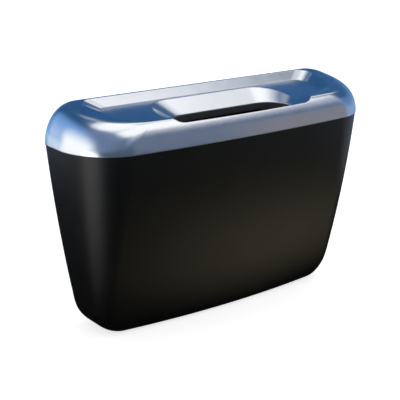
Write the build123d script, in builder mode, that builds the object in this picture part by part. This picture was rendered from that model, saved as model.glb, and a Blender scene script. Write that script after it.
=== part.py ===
"""Car trash bin: a tapered black tub, a satin silver cap with a sloping dish and an open
mouth, and the black collar that lines the mouth under the cap.

Frame: +Z up, +X along the width, the crowned front faces -Y.  The origin is the middle of
the flat base.  All sizes are in millimetres.
"""

from build123d import *

import os
from math import cos, radians, sin

# Tub, measured outside
tub_height = 128.4          # base to the seam under the cap
rim_width = 240.0           # at the seam
rim_depth = 68.0            # at the seam, over the crown of the front
base_width = 199.6
base_depth = 43.9
back_draft = 3.25           # the flat back leans out by this from base to seam
front_crown = 5.8           # bulge of the front between its corners
end_belly = 1.9             # outward bow of the ends half way up
front_belly = 1.25          # outward bow of the front half way up
rim_front_radius = 35.0     # upright corners, front, at the seam
base_front_radius = 0.215 * base_depth  # upright corners, front, at the base
rim_back_radius = 16.0      # upright corners, back, at the seam
base_back_radius = 0.365 * base_depth   # upright corners, back, at the base
foot_end_radius = 19.0      # rounding from base to ends
foot_edge_radius = 6.5      # rounding from base to front and back
tub_wall = 2.2
foot_steps = 5              # sections in the foot rounding

# Hanging hook on the back of the tub
hook_width = 70.0
hook_gap = 9.0              # room for the edge that it hangs on
hook_drop = 46.0            # length of the tongue
hook_thickness = 3.2
hook_below_seam = 14.0      # top of the hook under the seam
hook_corner = 9.0           # lower corners of the tongue
hook_bend = 2.0             # inside the bend from bridge to tongue

# Cap, with heights above the seam
cap_overhang = 0.4          # the cap stands proud of the tub
cap_wall = 2.0
crest_height = 25.6         # at the back
crest_slope = 0.136         # the top falls towards the front
crest_back_width = 207.5    # over the crest, at the back
crest_front_width = 206.0   # over the crest, at the front
crest_back_inset = 11.0     # crest from the back face
crest_front_inset = 4.6     # crest from the crown of the front
crest_depth = rim_depth - crest_back_inset - crest_front_inset
crest_crown = 4.6
crest_front_radius = 0.70 * crest_depth
crest_back_radius = 0.15 * crest_depth
end_fullness = 2.0          # 2 is an ellipse, more is squarer and less is flatter
front_fullness = 2.8
back_fullness = 1.75

# Dish sunk into the crest, with its rim in the crest's sloping plane
dish_depth = 4.5
rim_land = 1.0              # narrow flat between the rim and the dome, front and back
dish_back_width = 200.0     # over the rim, at the back
dish_front_width = 174.0    # over the rim, at the front
dish_end_run = 9.0          # the wall slopes in by this from rim to floor at the ends
dish_back_run = 5.8
dish_front_run = 6.5
dish_rim_radii = (0.50 * crest_depth, 0.17 * crest_depth)    # front and back
dish_floor_radii = (0.30 * crest_depth, 0.155 * crest_depth)
dish_reach = 1.5            # the dish is cut to this share of its depth, past the crest

# Mouth, a sloping funnel in the dish that ends in an upright lip
lip_height = 12.4           # above the seam
lip_edge = 1.4              # upright edge of the lip
lip_width = 96.0
lip_depth = 25.0
lip_front_inset = 8.6       # lip from the crown of the front
lip_crown = 1.6
lip_back_radius = 0.70 * lip_depth
lip_front_radius = 0.22 * lip_depth
funnel_back_run = 1.93      # run for each unit of rise
funnel_end_run = 1.6
funnel_front_run = 2.25
funnel_corner_run = 1.0     # growth of the back corners' radius
funnel_front_corner_run = -0.4  # the front corners sharpen upwards

# Skirt that plugs the cap into the tub
skirt_depth = 9.0
skirt_wall = 1.6
skirt_clearance = 0.5

# Collar under the mouth and the stakes that hold it
collar_wall = 1.6
collar_clearance = 0.3      # collar inside the lip
collar_setback = 0.2        # top of the collar below the lip
collar_height = 4.4
flange_thickness = 1.6
flange_width = 9.0          # round the ends and the back
flange_front_width = 2.0
stake_diameter = 2.4
stake_hole_clearance = 0.2
stake_head_diameter = 4.4
stake_head_height = 0.8
post_size = 5.0             # square bosses under the funnel that the stakes stand on

# Places that follow from the sizes
rim_back = base_depth / 2 + back_draft
rim_front = rim_back - rim_depth
crest_back = rim_back - crest_back_inset
crest_front = rim_front + crest_front_inset
lip_front = rim_front + lip_front_inset
lip_back = lip_front + lip_depth
lip_level = tub_height + lip_height
lip_seat = lip_level - lip_edge
dish_back = crest_back - rim_land - dish_back_run
funnel_rise = crest_height - dish_depth - crest_slope * (crest_back - dish_back) - lip_height


def between(low, high, share):
    """Value at a share of the way from low to high."""
    return low + (high - low) * share


def round_inset(height, radius):
    """How far a quarter round of this radius stands in from its wall at a height."""
    below = max(radius - height, 0)
    return radius - (radius**2 - below**2) ** 0.5


def outline(plane, widths, front, back, crown, radii):
    """Flat back, straight ends and crowned front, with widths and radii as (front, back)."""
    front_half, back_half = widths[0] / 2, widths[1] / 2
    corner = front + crown
    with BuildSketch(plane) as shape:
        with BuildLine():
            Polyline(
                (front_half, corner), (back_half, back), (-back_half, back), (-front_half, corner)
            )
            ThreePointArc((-front_half, corner), (0, front), (front_half, corner))
        make_face()
        fillet(shape.vertices().group_by(Axis.Y)[-1], radii[1])
        fillet(shape.vertices().group_by(Axis.Y)[0], radii[0])
    return shape.sketch


def tub_outline(height, inset=0.0, level=None):
    """Tub section at a height, moved in by the inset and drawn at that or another level."""
    share = height / tub_height
    bow = 4 * share * (1 - share)
    end_round = round_inset(height - inset, foot_end_radius - inset)
    edge_round = round_inset(height - inset, foot_edge_radius - inset)
    width = between(base_width, rim_width, share) + 2 * (end_belly * bow - end_round - inset)
    front = between(-base_depth / 2, rim_front, share) - front_belly * bow + edge_round + inset
    back = between(base_depth / 2, rim_back, share) - edge_round - inset
    front_radius = between(base_front_radius, rim_front_radius, share) - inset - edge_round
    back_radius = between(base_back_radius, rim_back_radius, share) - inset - edge_round
    plane = Plane.XY.offset(height if level is None else level)
    return outline(plane, (width, width), front, back, front_crown, (front_radius, back_radius))


def tub_levels(inset=0.0):
    """Heights of the tub's sections, evenly spaced along the foot rounding and up the wall."""
    radius = foot_end_radius - inset
    foot = [inset + radius * (1 - cos(radians(90 * i / foot_steps))) for i in range(foot_steps)]
    spacing = radius * radians(90) / foot_steps
    steps = round((tub_height - foot_end_radius) / spacing)
    rise = (tub_height - foot_end_radius) / steps
    return foot + [foot_end_radius + rise * i for i in range(steps + 1)]


def sloping_plane(height, slope, at_y):
    """Plane that passes a height at some y and falls towards the front."""
    return Plane(origin=(0, 0, height - slope * at_y), x_dir=(1, 0, 0), z_dir=(0, -slope, 1))


def cap_outline(angle, inset=0.0):
    """Cap section on the way from the seam (0 degrees) to the crest (90 degrees)."""
    end_share = 1 - cos(radians(angle)) ** (2 / end_fullness)
    rise = sin(radians(angle)) ** (2 / end_fullness)
    front_share = 1 - max(1 - rise**front_fullness, 0) ** (1 / front_fullness)
    back_share = 1 - max(1 - rise**back_fullness, 0) ** (1 / back_fullness)
    grow = cap_overhang - inset
    seam_width = rim_width + 2 * grow
    widths = (
        between(seam_width, crest_front_width - 2 * inset, end_share),
        between(seam_width, crest_back_width - 2 * inset, end_share),
    )
    front = between(rim_front - grow, crest_front + inset, front_share)
    back = between(rim_back + grow, crest_back - inset, back_share)
    crown = between(front_crown, crest_crown, front_share)
    radii = (
        between(rim_front_radius + grow, crest_front_radius - inset, end_share),
        between(rim_back_radius + grow, crest_back_radius - inset, end_share),
    )
    plane = sloping_plane(tub_height + (crest_height - inset) * rise, crest_slope * rise, crest_back)
    return outline(plane, widths, front, back, crown, radii)


def dish_outline(share, grow=0.0):
    """Dish section from its floor (0) to the rim (1) or past it, grown and lowered by a wall."""
    level = tub_height + crest_height - dish_depth * (1 - share) - grow
    plane = sloping_plane(level, crest_slope, crest_back)
    end_run = 2 * (dish_end_run * (1 - share) - grow)
    return outline(
        plane,
        (dish_front_width - end_run, dish_back_width - end_run),
        crest_front + rim_land + dish_front_run * (1 - share) - grow,
        crest_back - rim_land - dish_back_run * (1 - share) + grow,
        crest_crown,
        [between(low, high, share) + grow for low, high in zip(dish_floor_radii, dish_rim_radii)],
    )


def mouth_outline(rise, level, grow=0.0, front_grow=None):
    """Mouth section at a rise above the lip, grown outwards and drawn at a level."""
    width = lip_width + 2 * (funnel_end_run * rise + grow)
    front_grow = grow if front_grow is None else front_grow
    front_radius = lip_front_radius + funnel_front_corner_run * rise + front_grow
    return outline(
        Plane.XY.offset(level),
        (width, width),
        lip_front - funnel_front_run * rise - front_grow,
        lip_back + funnel_back_run * rise + grow,
        lip_crown,
        (front_radius, lip_back_radius + funnel_corner_run * rise + grow),
    )


cap_angles = range(0, 91, 15)
stake_places = [
    (side * x, y)
    for side in (-1, 1)
    for x, y in (
        (lip_width / 2 + flange_width / 2, lip_front + lip_depth / 2),
        (lip_width / 4, lip_back + flange_width / 2),
    )
]
skirt_foot = tub_height - skirt_depth
skirt_inset = tub_wall + skirt_clearance

# Hook, moulded in one with the tub: a bridge from the back wall and a hanging tongue
hook_top = tub_height - hook_below_seam
hook_root = rim_back - tub_wall / 2 - back_draft * hook_below_seam / tub_height
tongue_inside = rim_back + hook_gap
tongue_outside = tongue_inside + hook_thickness
with BuildPart() as hook:
    with BuildSketch(Plane.YZ) as hook_profile:
        with BuildLine():
            Polyline(
                (hook_root, hook_top - hook_thickness),
                (tongue_inside, hook_top - hook_thickness),
                (tongue_inside, hook_top - hook_drop),
                (tongue_outside, hook_top - hook_drop),
                (tongue_outside, hook_top),
                (hook_root, hook_top),
                close=True,
            )
        make_face()
        corners = hook_profile.vertices()
        fillet(corners.sort_by_distance((tongue_outside, hook_top))[0], hook_bend + hook_thickness)
        corners = hook_profile.vertices()
        fillet(corners.sort_by_distance((tongue_inside, hook_top - hook_thickness))[0], hook_bend)
    extrude(amount=hook_width / 2, both=True)
    fillet(hook.edges().filter_by(Axis.Y).group_by(Axis.Z)[0], hook_corner)

# Tub: lofted outside with the hook on its back, then the lofted hollow
with BuildPart() as tub:
    loft([tub_outline(z) for z in tub_levels()])
    add(hook.part)
    loft([tub_outline(z, tub_wall) for z in tub_levels(tub_wall)], mode=Mode.SUBTRACT)
tub.part.label = "tub"

# Room under the cap: the dome's inside, less the walls of dish and funnel, the skirt and the posts
with BuildPart() as skirt:
    extrude(tub_outline(skirt_foot, skirt_inset), amount=skirt_depth + crest_height)
    extrude(
        tub_outline(skirt_foot, skirt_inset + skirt_wall),
        amount=skirt_depth + crest_height,
        mode=Mode.SUBTRACT,
    )

with BuildPart() as posts:
    with BuildSketch(Plane.XY.offset(lip_seat)):
        with Locations(*stake_places):
            Rectangle(post_size, post_size)
    extrude(amount=crest_height)

with BuildPart() as hollow:
    loft([cap_outline(a, cap_wall) for a in cap_angles])
    loft([dish_outline(0, cap_wall), dish_outline(dish_reach, cap_wall)], mode=Mode.SUBTRACT)
    loft(
        [
            mouth_outline(0, lip_seat, cap_wall),
            mouth_outline(funnel_rise, lip_seat + funnel_rise, cap_wall),
        ],
        mode=Mode.SUBTRACT,
    )
    add(skirt.part, mode=Mode.SUBTRACT)
    add(posts.part, mode=Mode.SUBTRACT)

with BuildPart() as cap:
    loft([cap_outline(a) for a in cap_angles])
    loft([dish_outline(0), dish_outline(dish_reach)], mode=Mode.SUBTRACT)
    loft(
        [mouth_outline(0, lip_level), mouth_outline(funnel_rise, lip_level + funnel_rise)],
        mode=Mode.SUBTRACT,
    )
    extrude(mouth_outline(0, lip_level), amount=-lip_height, mode=Mode.SUBTRACT)
    add(hollow.part, mode=Mode.SUBTRACT)
    extrude(tub_outline(skirt_foot, skirt_inset), amount=skirt_depth)
    extrude(
        tub_outline(skirt_foot, skirt_inset + skirt_wall), amount=skirt_depth, mode=Mode.SUBTRACT
    )
    with BuildSketch(Plane.XY.offset(lip_seat)):
        with Locations(*stake_places):
            Circle(stake_diameter / 2)
    extrude(amount=-flange_thickness)
    with BuildSketch(Plane.XY.offset(lip_seat - flange_thickness)):
        with Locations(*stake_places):
            Circle(stake_head_diameter / 2)
    extrude(amount=-stake_head_height)
cap.part.label = "cap"

# Collar: a sleeve that lines the lip, on a flange that the stakes pass through
collar_foot = lip_level - collar_setback - collar_height
with BuildPart() as collar:
    extrude(
        mouth_outline(0, lip_seat - flange_thickness, flange_width, flange_front_width),
        amount=flange_thickness,
    )
    extrude(mouth_outline(0, collar_foot, -collar_clearance), amount=collar_height)
    extrude(
        mouth_outline(0, collar_foot, -collar_clearance - collar_wall),
        amount=collar_height,
        mode=Mode.SUBTRACT,
    )
    with BuildSketch(Plane.XY.offset(lip_seat)):
        with Locations(*stake_places):
            Circle(stake_diameter / 2 + stake_hole_clearance)
    extrude(amount=-flange_thickness, mode=Mode.SUBTRACT)
collar.part.label = "collar"

os.makedirs("parts", exist_ok=True)
export_step(tub.part, "parts/tub.step")
export_step(cap.part, "parts/cap.step")
export_step(collar.part, "parts/collar.step")
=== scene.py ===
"""Looks for the car trash bin: a satin silver cap, a black tub and a black collar on a pale floor.

Everything is in metres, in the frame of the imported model: +Z up, the crowned front faces -Y.
"""

import math

import bpy
from mathutils import Matrix, Vector


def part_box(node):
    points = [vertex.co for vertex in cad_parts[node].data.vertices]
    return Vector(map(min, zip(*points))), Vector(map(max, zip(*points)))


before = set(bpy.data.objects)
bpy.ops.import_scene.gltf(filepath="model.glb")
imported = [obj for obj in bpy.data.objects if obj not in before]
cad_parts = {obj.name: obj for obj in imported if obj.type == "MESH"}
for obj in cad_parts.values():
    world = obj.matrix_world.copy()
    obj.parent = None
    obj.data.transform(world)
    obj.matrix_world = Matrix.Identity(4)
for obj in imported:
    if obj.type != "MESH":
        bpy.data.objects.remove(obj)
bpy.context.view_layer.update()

# Camera, solved from the outlines of the bin in the photograph
CAMERA_AT = Vector((-0.425274, -0.545524, 0.296957))
CAMERA_AIM = Vector((-0.007155, 0.000875, 0.074627))
CAMERA_ROLL = math.radians(0.72)
CAMERA_LENS = 93.548
CAMERA_CLIP = (0.01, 50.0)
SENSOR = 36.0

# Silver cap: the skin ends just above the seam, where a thin black band is painted shade for the
# seam's shadow gap, and faces that look down are bare
SEAM_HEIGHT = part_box("tub")[1].z
SKIN_ABOVE_SEAM_SHADE = (SEAM_HEIGHT + 0.0002, SEAM_HEIGHT + 0.0005)
UNDERSIDE_FACING = (-0.35, -0.2)
SILVER = (0.70, 0.72, 0.755, 1)
SILVER_DULL = (0.67, 0.69, 0.73, 1)
SILVER_ROUGH = (0.17, 0.21)
SILVER_PATCHES = 90.0
SILVER_EDGE_ROUND = 0.0012
BARE_BLACK_AND_SEAM_SHADE = (0.012, 0.012, 0.0125, 1)
BARE_ROUGH = 0.5

# Black tub and collar
TUB_BLACK = (0.0022, 0.0022, 0.0021, 1)
TUB_WORN = (0.0032, 0.0031, 0.0029, 1)
TUB_ROUGH = (0.36, 0.42)
COLLAR_BLACK = (0.034, 0.034, 0.035, 1)
COLLAR_GREY = (0.044, 0.044, 0.045, 1)
COLLAR_ROUGH = (0.5, 0.6)
BLACK_PATCHES = 45.0
BLACK_EDGE_ROUND = 0.0006

# Moulded grain, as layers of noise scale, bump strength and depth
SILVER_GRAIN = ((1300.0, 0.17, 0.0001), (700.0, 0.05, 0.0002))
BLACK_GRAIN = ((1900.0, 0.1, 0.0001), (700.0, 0.05, 0.0002))

# Stage
FLOOR_HALF = 4.0
FLOOR_MATT = (0.80, 0.80, 0.80, 1)
FLOOR_GLOW = 0.72
WORLD_LIGHT = 0.55
CARD_RADIUS = 3.5
CARD_LIFT = 0.0004
DOME_TURNS = 48
DOME_ROWS = 12
LAMP_DISTANCE = 1.6
LAMP_CENTRE = Vector((0, 0, 0.1))
KEY_TOWARDS = Vector((0.58, 0.20, 0.79)).normalized()
SIDE_TOWARDS = Vector((-0.977, 0.208, 0.052)).normalized()
LAMPS = (
    ("key_lamp", KEY_TOWARDS, (1.1, 0.8), 4.0),
    ("side_lamp", SIDE_TOWARDS, (0.35, 0.9), 1.0),
)

# Bearings round the bin, seen from above
FRONT_LEFT = (-0.53, -0.848, 0)
FRONT_RIGHT = (0.50, -0.866, 0)
RIGHT_OF_FRONT = (0.78, -0.626, 0)
RIGHT = (0.985, -0.174, 0)
LEFT = (-0.978, 0.208, 0)
LEFT_CORNER = (-0.948, -0.317, 0)
BACK_LEFT = (-0.883, 0.469, 0)

# Sky card: ramps by the sine of the height, then panels of aim, the cosines at which the panel
# starts and is full, and colour, each over the ones before it
WHITE = (1.4, 1.4, 1.4, 1)
SKY_RAMP = (
    (0.0, (0.18, 0.33, 0.61)),
    (0.20, (0.13, 0.25, 0.49)),
    (0.38, (0.024, 0.115, 0.30)),
    (0.55, (0.026, 0.108, 0.27)),
)
FRONT_RAMP = (
    (0.0, (0.11, 0.165, 0.285)),
    (0.09, (0.15, 0.205, 0.32)),
    (0.17, (0.44, 0.48, 0.56)),
    (0.30, (0.64, 0.68, 0.73)),
    (0.44, (1.0, 1.0, 1.0)),
)
FRONT_FADES = (0.40, 0.70)
FRONT_LEFT_PANEL = (FRONT_LEFT, 0.78, 0.95)
FRONT_LEFT_COLOUR = (0.13, 0.19, 0.30, 1)
FRONT_RIGHT_PANEL = (FRONT_RIGHT, 0.82, 0.97)
HAZE_PANEL = ((-0.85, -0.35, 0.40), 0.55, 0.85)
HAZE_COLOUR = (0.17, 0.25, 0.41, 1)
SKY_PANELS = (
    # Pale blue bank at the back left
    (BACK_LEFT, 0.45, 0.80, (0.24, 0.49, 0.92, 1)),
    # White high on the right, and a bright spot at its back
    (KEY_TOWARDS, 0.950, 0.985, (1.06, 1.08, 1.09, 1)),
    ((0.45, 0.31, 0.837), 0.986, 0.996, (1.5, 1.5, 1.5, 1)),
    # Broad white high at the front
    ((0.29, -0.575, 0.766), 0.81, 0.89, WHITE),
    # Grey flags at the right and at the back
    ((0.70, -0.12, 0.704), 0.984, 0.999, (0.25, 0.30, 0.38, 1)),
    ((0.145, 0.54, 0.829), 0.993, 0.9985, (0.50, 0.55, 0.63, 1)),
    # Whites overhead: towards the front, in the middle and towards the back right
    ((-0.10, -0.30, 0.949), 0.950, 1.0, (0.98, 1.0, 1.04, 1)),
    ((-0.05, -0.03, 0.998), 0.915, 0.975, (1.38, 1.39, 1.40, 1)),
    ((0.17, 0.19, 0.967), 0.970, 0.992, (1.5, 1.5, 1.5, 1)),
)
SIDE_PANEL = (SIDE_TOWARDS, 0.66, 0.93)
SIDE_FADE = (0.25, 0.70, 1.0, 0.3)

# Ground card: distances from the bin's middle over which the colours come in
GROUND_DARK = (0.012, 0.012, 0.012, 1)
GROUND_BLUE = (0.30, 0.45, 0.70, 1)
AWAY = (0.36, 0.50)
OUT = (0.42, 0.65)
FAR = (0.60, 0.90)
# Patches of bearing, the cosines at which the patch starts and is full, distances and colour
GROUND_PATCHES = (
    (FRONT_LEFT, 0.45, 0.80, AWAY, (0.075, 0.115, 0.17, 1)),
    (FRONT_RIGHT, 0.91, 0.985, AWAY, (0.17, 0.215, 0.31, 1)),
    (RIGHT_OF_FRONT, 0.94, 0.99, AWAY, (0.28, 0.28, 0.31, 1)),
    (BACK_LEFT, 0.45, 0.80, FAR, (0.45, 0.73, 1.05, 1)),
    (LEFT, 0.66, 0.92, OUT, (1.35, 1.37, 1.37, 1)),
)
WEDGE_PATCH = (LEFT_CORNER, 0.945, 0.992)
WEDGE_DISTANCE = (0.13, 0.36)
WEDGE_COLOUR = (1.8, 1.8, 1.8, 1)
RING_PATCH = (RIGHT, 0.95, 0.99)
RING_STARTS = (0.27, 0.35)
RING_ENDS = (0.45, 0.60)
RING_COLOUR = (0.50, 0.49, 0.47, 1)
WARM_SCALE = (0.85, 1.9, 1)
WARM_CENTRE = (0.085, -0.133, 0)
WARM_FADE = (0.02, 0.20)
WARM_IN_FRONT = (-0.06, -0.025)
WARM_COLOUR = (0.56, 0.51, 0.33, 1)


def add_node(tree, kind, settings=None, **inputs):
    """Adds a shader node; inputs are values or sockets, by name with _ for a space, or as i0."""
    made = tree.nodes.new(kind)
    for name, value in (settings or {}).items():
        setattr(made, name, value)
    for name, value in inputs.items():
        numbered = name[0] == "i" and name[1:].isdigit()
        set_input(tree, made.inputs[int(name[1:]) if numbered else name.replace("_", " ")], value)
    return made


def set_input(tree, socket, value):
    """Links an input to a socket or gives it a value."""
    if isinstance(value, bpy.types.NodeSocket):
        tree.links.new(value, socket)
    else:
        socket.default_value = value


def new_material(name):
    """An empty node material with its output."""
    material = bpy.data.materials.new(name)
    material.use_nodes = True
    tree = material.node_tree
    tree.nodes.clear()
    return material, tree, tree.nodes.new("ShaderNodeOutputMaterial")


def noise(tree, coordinates, scale, detail=2.0):
    """Grey noise with features of about one over the scale, in metres."""
    made = add_node(
        tree, "ShaderNodeTexNoise", Vector=coordinates, Scale=scale, Detail=detail, Roughness=0.5
    )
    return made.outputs["Fac"]


def math_node(tree, operation, first, second):
    """One arithmetic step."""
    made = add_node(tree, "ShaderNodeMath", {"operation": operation}, i0=first, i1=second)
    return made.outputs[0]


def spread(tree, value, low, high, to_low, to_high, smooth=False):
    """Maps a value from one range to another, held at the ends."""
    kind = "SMOOTHSTEP" if smooth else "LINEAR"
    made = add_node(
        tree,
        "ShaderNodeMapRange",
        {"interpolation_type": kind, "clamp": True},
        Value=value,
        From_Min=low,
        From_Max=high,
        To_Min=to_low,
        To_Max=to_high,
    )
    return made.outputs["Result"]


def mix_colour(tree, share, first, second):
    """Blends two colours by a share; sockets 6 and 7 of the node are its colours."""
    made = add_node(
        tree, "ShaderNodeMix", {"data_type": "RGBA"}, i0=share, i6=first, i7=second
    )
    return made.outputs[2]


def grain_normal(tree, coordinates, layers, edge_round):
    """Moulded grain as bump, on edges that are softened by a small round."""
    normal = add_node(tree, "ShaderNodeBevel", {"samples": 6}, Radius=edge_round).outputs[0]
    for scale, strength, depth in layers:
        normal = add_node(
            tree,
            "ShaderNodeBump",
            Strength=strength,
            Distance=depth,
            Height=noise(tree, coordinates, scale),
            Normal=normal,
        ).outputs[0]
    return normal


def patches(tree, coordinates, scale, colours, rough):
    """Colour and roughness that drift in soft patches."""
    share = noise(tree, coordinates, scale, 3.0)
    colour = mix_colour(tree, spread(tree, share, 0.3, 0.7, 0.0, 1.0), *colours)
    return colour, spread(tree, share, 0.25, 0.75, *rough)


def silver_material():
    """Satin metallised skin outside; the skirt and the underside are bare black plastic, and a
    thin black band just above the seam is painted shade for the seam's shadow gap.
    """
    material, tree, output = new_material("silver_plastic")
    coordinates = add_node(tree, "ShaderNodeTexCoord").outputs["Object"]
    normal = add_node(tree, "ShaderNodeNewGeometry").outputs["Normal"]
    facing = add_node(tree, "ShaderNodeSeparateXYZ", Vector=normal).outputs["Z"]
    height = add_node(tree, "ShaderNodeSeparateXYZ", Vector=coordinates).outputs["Z"]
    # Black below the seam for the skirt, plus a thin band just above the seam painted as the shade
    # of the seam gap
    skirt_and_seam_shade = spread(tree, height, *SKIN_ABOVE_SEAM_SHADE, 1.0, 0.0)
    under = spread(tree, facing, *UNDERSIDE_FACING, 1.0, 0.0)
    bare_and_seam_shade = math_node(tree, "MAXIMUM", skirt_and_seam_shade, under)
    colour, roughness = patches(
        tree, coordinates, SILVER_PATCHES, (SILVER_DULL, SILVER), SILVER_ROUGH
    )
    bare_roughness = math_node(tree, "MULTIPLY", bare_and_seam_shade, BARE_ROUGH)
    skin = add_node(
        tree,
        "ShaderNodeBsdfPrincipled",
        Base_Color=mix_colour(tree, bare_and_seam_shade, colour, BARE_BLACK_AND_SEAM_SHADE),
        Metallic=spread(tree, bare_and_seam_shade, 0.0, 1.0, 1.0, 0.0),
        Roughness=math_node(tree, "MAXIMUM", roughness, bare_roughness),
        Normal=grain_normal(tree, coordinates, SILVER_GRAIN, SILVER_EDGE_ROUND),
    )
    tree.links.new(skin.outputs[0], output.inputs["Surface"])
    return material


def black_material(name, colours, rough):
    """Satin black plastic with a fine spark-eroded grain."""
    material, tree, output = new_material(name)
    coordinates = add_node(tree, "ShaderNodeTexCoord").outputs["Object"]
    colour, roughness = patches(tree, coordinates, BLACK_PATCHES, colours, rough)
    skin = add_node(
        tree,
        "ShaderNodeBsdfPrincipled",
        Base_Color=colour,
        Roughness=roughness,
        Normal=grain_normal(tree, coordinates, BLACK_GRAIN, BLACK_EDGE_ROUND),
    )
    tree.links.new(skin.outputs[0], output.inputs["Surface"])
    return material


def dress(node, material):
    """Gives a CAD node its material."""
    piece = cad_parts[node]
    piece.data.materials.clear()
    piece.data.materials.append(material)


def only_seen_in(piece, **kinds):
    """Limits a stage object to the kinds of ray that are named."""
    for kind in ("camera", "diffuse", "glossy", "transmission", "volume_scatter", "shadow"):
        setattr(piece, f"visible_{kind}", kinds.get(kind, False))


def stage_mesh(name, points, faces, material):
    """A stage object from points and faces."""
    mesh = bpy.data.meshes.new(name)
    mesh.from_pydata(points, [], faces)
    mesh.polygons.foreach_set("use_smooth", [True] * len(mesh.polygons))
    mesh.materials.append(material)
    made = bpy.data.objects.new(name, mesh)
    bpy.context.scene.collection.objects.link(made)
    return made


def background_share(tree):
    """1 for the rays that show the white background: camera, glossy and transmission rays."""
    path = add_node(tree, "ShaderNodeLightPath").outputs
    share = math_node(tree, "MAXIMUM", path["Is Camera Ray"], path["Is Glossy Ray"])
    return math_node(tree, "MAXIMUM", share, path["Is Transmission Ray"])


def floor_material():
    """Pale floor that is white to the eye and keeps a soft shadow."""
    material, tree, output = new_material("pale_floor")
    matt = add_node(tree, "ShaderNodeBsdfDiffuse", Color=FLOOR_MATT)
    share = math_node(tree, "MULTIPLY", background_share(tree), FLOOR_GLOW)
    glow = add_node(tree, "ShaderNodeEmission", Color=(1, 1, 1, 1), Strength=share)
    both = add_node(tree, "ShaderNodeAddShader", i0=matt.outputs[0], i1=glow.outputs[0])
    tree.links.new(both.outputs[0], output.inputs["Surface"])
    return material


def vector_math(tree, operation, first, second=(0, 0, 0)):
    """One step of vector arithmetic."""
    return add_node(tree, "ShaderNodeVectorMath", {"operation": operation}, i0=first, i1=second)


def towards(tree, direction, aim, low, high):
    """How much a direction points at an aim, from 0 at the low cosine to 1 at the high one."""
    cosine = vector_math(tree, "DOT_PRODUCT", direction, aim).outputs["Value"]
    return spread(tree, cosine, low, high, 0.0, 1.0, smooth=True)


def ramp(tree, value, stops):
    """Colour ramp from (place, colour) stops."""
    made = add_node(tree, "ShaderNodeValToRGB", Fac=value)
    band = made.color_ramp.elements
    while len(band) < len(stops):
        band.new(0.5)
    for element, (place, colour) in zip(band, stops):
        element.position = place
        element.color = (*colour, 1)
    return made.outputs["Color"]


def mix_faded(tree, under, share, fade, colour):
    """Lays a colour over another by a share that a second share fades."""
    return mix_colour(tree, math_node(tree, "MULTIPLY", share, fade), under, colour)


def card_material(name, colour_of):
    """A reflection card that glows by itself and lights nothing."""
    material, tree, output = new_material(name)
    position = add_node(tree, "ShaderNodeTexCoord").outputs["Object"]
    glow = add_node(tree, "ShaderNodeEmission", Color=colour_of(tree, position), Strength=1.0)
    tree.links.new(glow.outputs[0], output.inputs["Surface"])
    material.cycles.emission_sampling = "NONE"
    return material


def sky_colour(tree, position):
    """A blue dome, grey-blue low at the front, with pale, grey and white panels over it."""
    direction = vector_math(tree, "NORMALIZE", position).outputs["Vector"]
    height = add_node(tree, "ShaderNodeSeparateXYZ", Vector=direction).outputs["Z"]
    level = vector_math(tree, "MULTIPLY", direction, (1, 1, 0)).outputs["Vector"]
    bearing = vector_math(tree, "NORMALIZE", level).outputs["Vector"]
    low = spread(tree, height, *FRONT_FADES, 1.0, 0.0, smooth=True)

    sky = ramp(tree, height, SKY_RAMP)
    front_left = towards(tree, bearing, *FRONT_LEFT_PANEL)
    sky = mix_faded(tree, sky, front_left, low, FRONT_LEFT_COLOUR)
    sky = mix_colour(tree, towards(tree, direction, *HAZE_PANEL), sky, HAZE_COLOUR)
    front_right = towards(tree, bearing, *FRONT_RIGHT_PANEL)
    sky = mix_faded(tree, sky, front_right, low, ramp(tree, height, FRONT_RAMP))
    for aim, start, full, colour in SKY_PANELS:
        sky = mix_colour(tree, towards(tree, direction, aim, start, full), sky, colour)
    side_fade = spread(tree, height, *SIDE_FADE)
    return mix_faded(tree, sky, towards(tree, direction, *SIDE_PANEL), side_fade, WHITE)


def ground_colour(tree, position):
    """Dark round the bin with a pale wedge at its left corner and a warm patch at its right."""
    distance = vector_math(tree, "LENGTH", position).outputs["Value"]
    bearing = vector_math(tree, "NORMALIZE", position).outputs["Vector"]
    along = add_node(tree, "ShaderNodeSeparateXYZ", Vector=position).outputs["Y"]

    fades = {
        reach: spread(tree, distance, *reach, 0.0, 1.0, smooth=True) for reach in (AWAY, OUT, FAR)
    }
    ground = mix_colour(tree, fades[AWAY], GROUND_DARK, GROUND_BLUE)
    for aim, start, full, reach, colour in GROUND_PATCHES:
        share = towards(tree, bearing, aim, start, full)
        ground = mix_faded(tree, ground, share, fades[reach], colour)

    wedge = towards(tree, bearing, *WEDGE_PATCH)
    wedge_fade = spread(tree, distance, *WEDGE_DISTANCE, 0.0, 1.0)
    ground = mix_faded(tree, ground, wedge, wedge_fade, WEDGE_COLOUR)
    ring_start = spread(tree, distance, *RING_STARTS, 0.0, 1.0)
    ring_end = spread(tree, distance, *RING_ENDS, 1.0, 0.0)
    ring = math_node(tree, "MULTIPLY", ring_start, ring_end)
    ground = mix_faded(tree, ground, towards(tree, bearing, *RING_PATCH), ring, RING_COLOUR)
    oval = vector_math(tree, "MULTIPLY", position, WARM_SCALE).outputs["Vector"]
    warm_at = vector_math(tree, "DISTANCE", oval, WARM_CENTRE).outputs["Value"]
    warm = spread(tree, warm_at, *WARM_FADE, 1.0, 0.0, smooth=True)
    in_front = spread(tree, along, *WARM_IN_FRONT, 1.0, 0.0)
    return mix_faded(tree, ground, warm, in_front, WARM_COLOUR)


def dome_mesh():
    """Points and faces of the half dome, in rows from the floor to the top."""
    points, faces = [], []
    for row in range(DOME_ROWS + 1):
        rise = math.radians(90 * row / DOME_ROWS)
        reach, height = CARD_RADIUS * math.cos(rise), CARD_RADIUS * math.sin(rise)
        for turn in range(DOME_TURNS):
            angle = math.radians(360 * turn / DOME_TURNS)
            points.append((reach * math.cos(angle), reach * math.sin(angle), height))
    for row in range(DOME_ROWS):
        this_row, next_row = row * DOME_TURNS, (row + 1) * DOME_TURNS
        for turn in range(DOME_TURNS):
            after = (turn + 1) % DOME_TURNS
            faces.append((this_row + turn, this_row + after, next_row + after, next_row + turn))
    return points, faces


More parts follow.
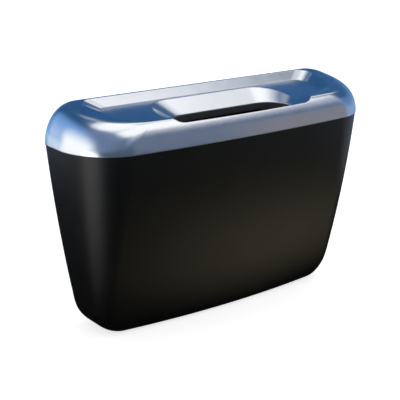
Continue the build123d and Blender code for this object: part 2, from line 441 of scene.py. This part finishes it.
def build_world():
    """White to the eye and to mirrors, and a plain even light on everything else."""
    world = bpy.data.worlds.new("studio")
    bpy.context.scene.world = world
    world.use_nodes = True
    tree = world.node_tree
    tree.nodes.clear()
    strength = spread(tree, background_share(tree), 0.0, 1.0, WORLD_LIGHT, 1.0)
    light = add_node(tree, "ShaderNodeBackground", Color=(1, 1, 1, 1), Strength=strength)
    output = tree.nodes.new("ShaderNodeOutputWorld")
    tree.links.new(light.outputs[0], output.inputs["Surface"])


def build_lamp(name, aim, size, watts):
    """A soft rectangular lamp that shines from the aim towards the bin."""
    lamp = bpy.data.lights.new(name, "AREA")
    lamp.shape = "RECTANGLE"
    lamp.size, lamp.size_y = size
    lamp.energy = watts
    holder = bpy.data.objects.new(name, lamp)
    holder.location = aim * LAMP_DISTANCE + LAMP_CENTRE
    holder.rotation_mode = "QUATERNION"
    holder.rotation_quaternion = aim.to_track_quat("Z", "Y")
    bpy.context.scene.collection.objects.link(holder)
    only_seen_in(holder, diffuse=True, shadow=True)


def build_stage():
    """Floor, the two reflection cards, the world and two soft lamps."""
    half = FLOOR_HALF
    square = [(-half, -half, 0), (half, -half, 0), (half, half, 0), (-half, half, 0)]
    stage_mesh("floor", square, [(0, 1, 2, 3)], floor_material())

    points, faces = dome_mesh()
    sky = stage_mesh("sky_card", points, faces, card_material("sky_card", sky_colour))
    only_seen_in(sky, glossy=True)

    disc = [(x, y, CARD_LIFT) for x, y, _ in points[:DOME_TURNS]]
    ground_glow = card_material("ground_card", ground_colour)
    ground = stage_mesh("ground_card", disc, [tuple(range(DOME_TURNS))], ground_glow)
    only_seen_in(ground, glossy=True)

    build_world()
    for lamp in LAMPS:
        build_lamp(*lamp)


def build_camera():
    """The photograph's camera."""
    back = (CAMERA_AT - CAMERA_AIM).normalized()
    right = Vector((0, 0, 1)).cross(back).normalized()
    up = back.cross(right)
    rolled_right = right * math.cos(CAMERA_ROLL) + up * math.sin(CAMERA_ROLL)
    rolled_up = up * math.cos(CAMERA_ROLL) - right * math.sin(CAMERA_ROLL)
    lens = bpy.data.cameras.new("camera")
    lens.sensor_width = SENSOR
    lens.lens = CAMERA_LENS
    lens.clip_start, lens.clip_end = CAMERA_CLIP
    camera = bpy.data.objects.new("camera", lens)
    turn = Matrix((rolled_right, rolled_up, back)).transposed()
    camera.matrix_world = Matrix.Translation(CAMERA_AT) @ turn.to_4x4()
    bpy.context.scene.collection.objects.link(camera)
    bpy.context.scene.camera = camera


dress("cap", silver_material())
dress("tub", black_material("black_plastic", (TUB_BLACK, TUB_WORN), TUB_ROUGH))
dress("collar", black_material("collar_plastic", (COLLAR_BLACK, COLLAR_GREY), COLLAR_ROUGH))
build_stage()
build_camera()
bpy.context.scene.view_settings.view_transform = "Standard"
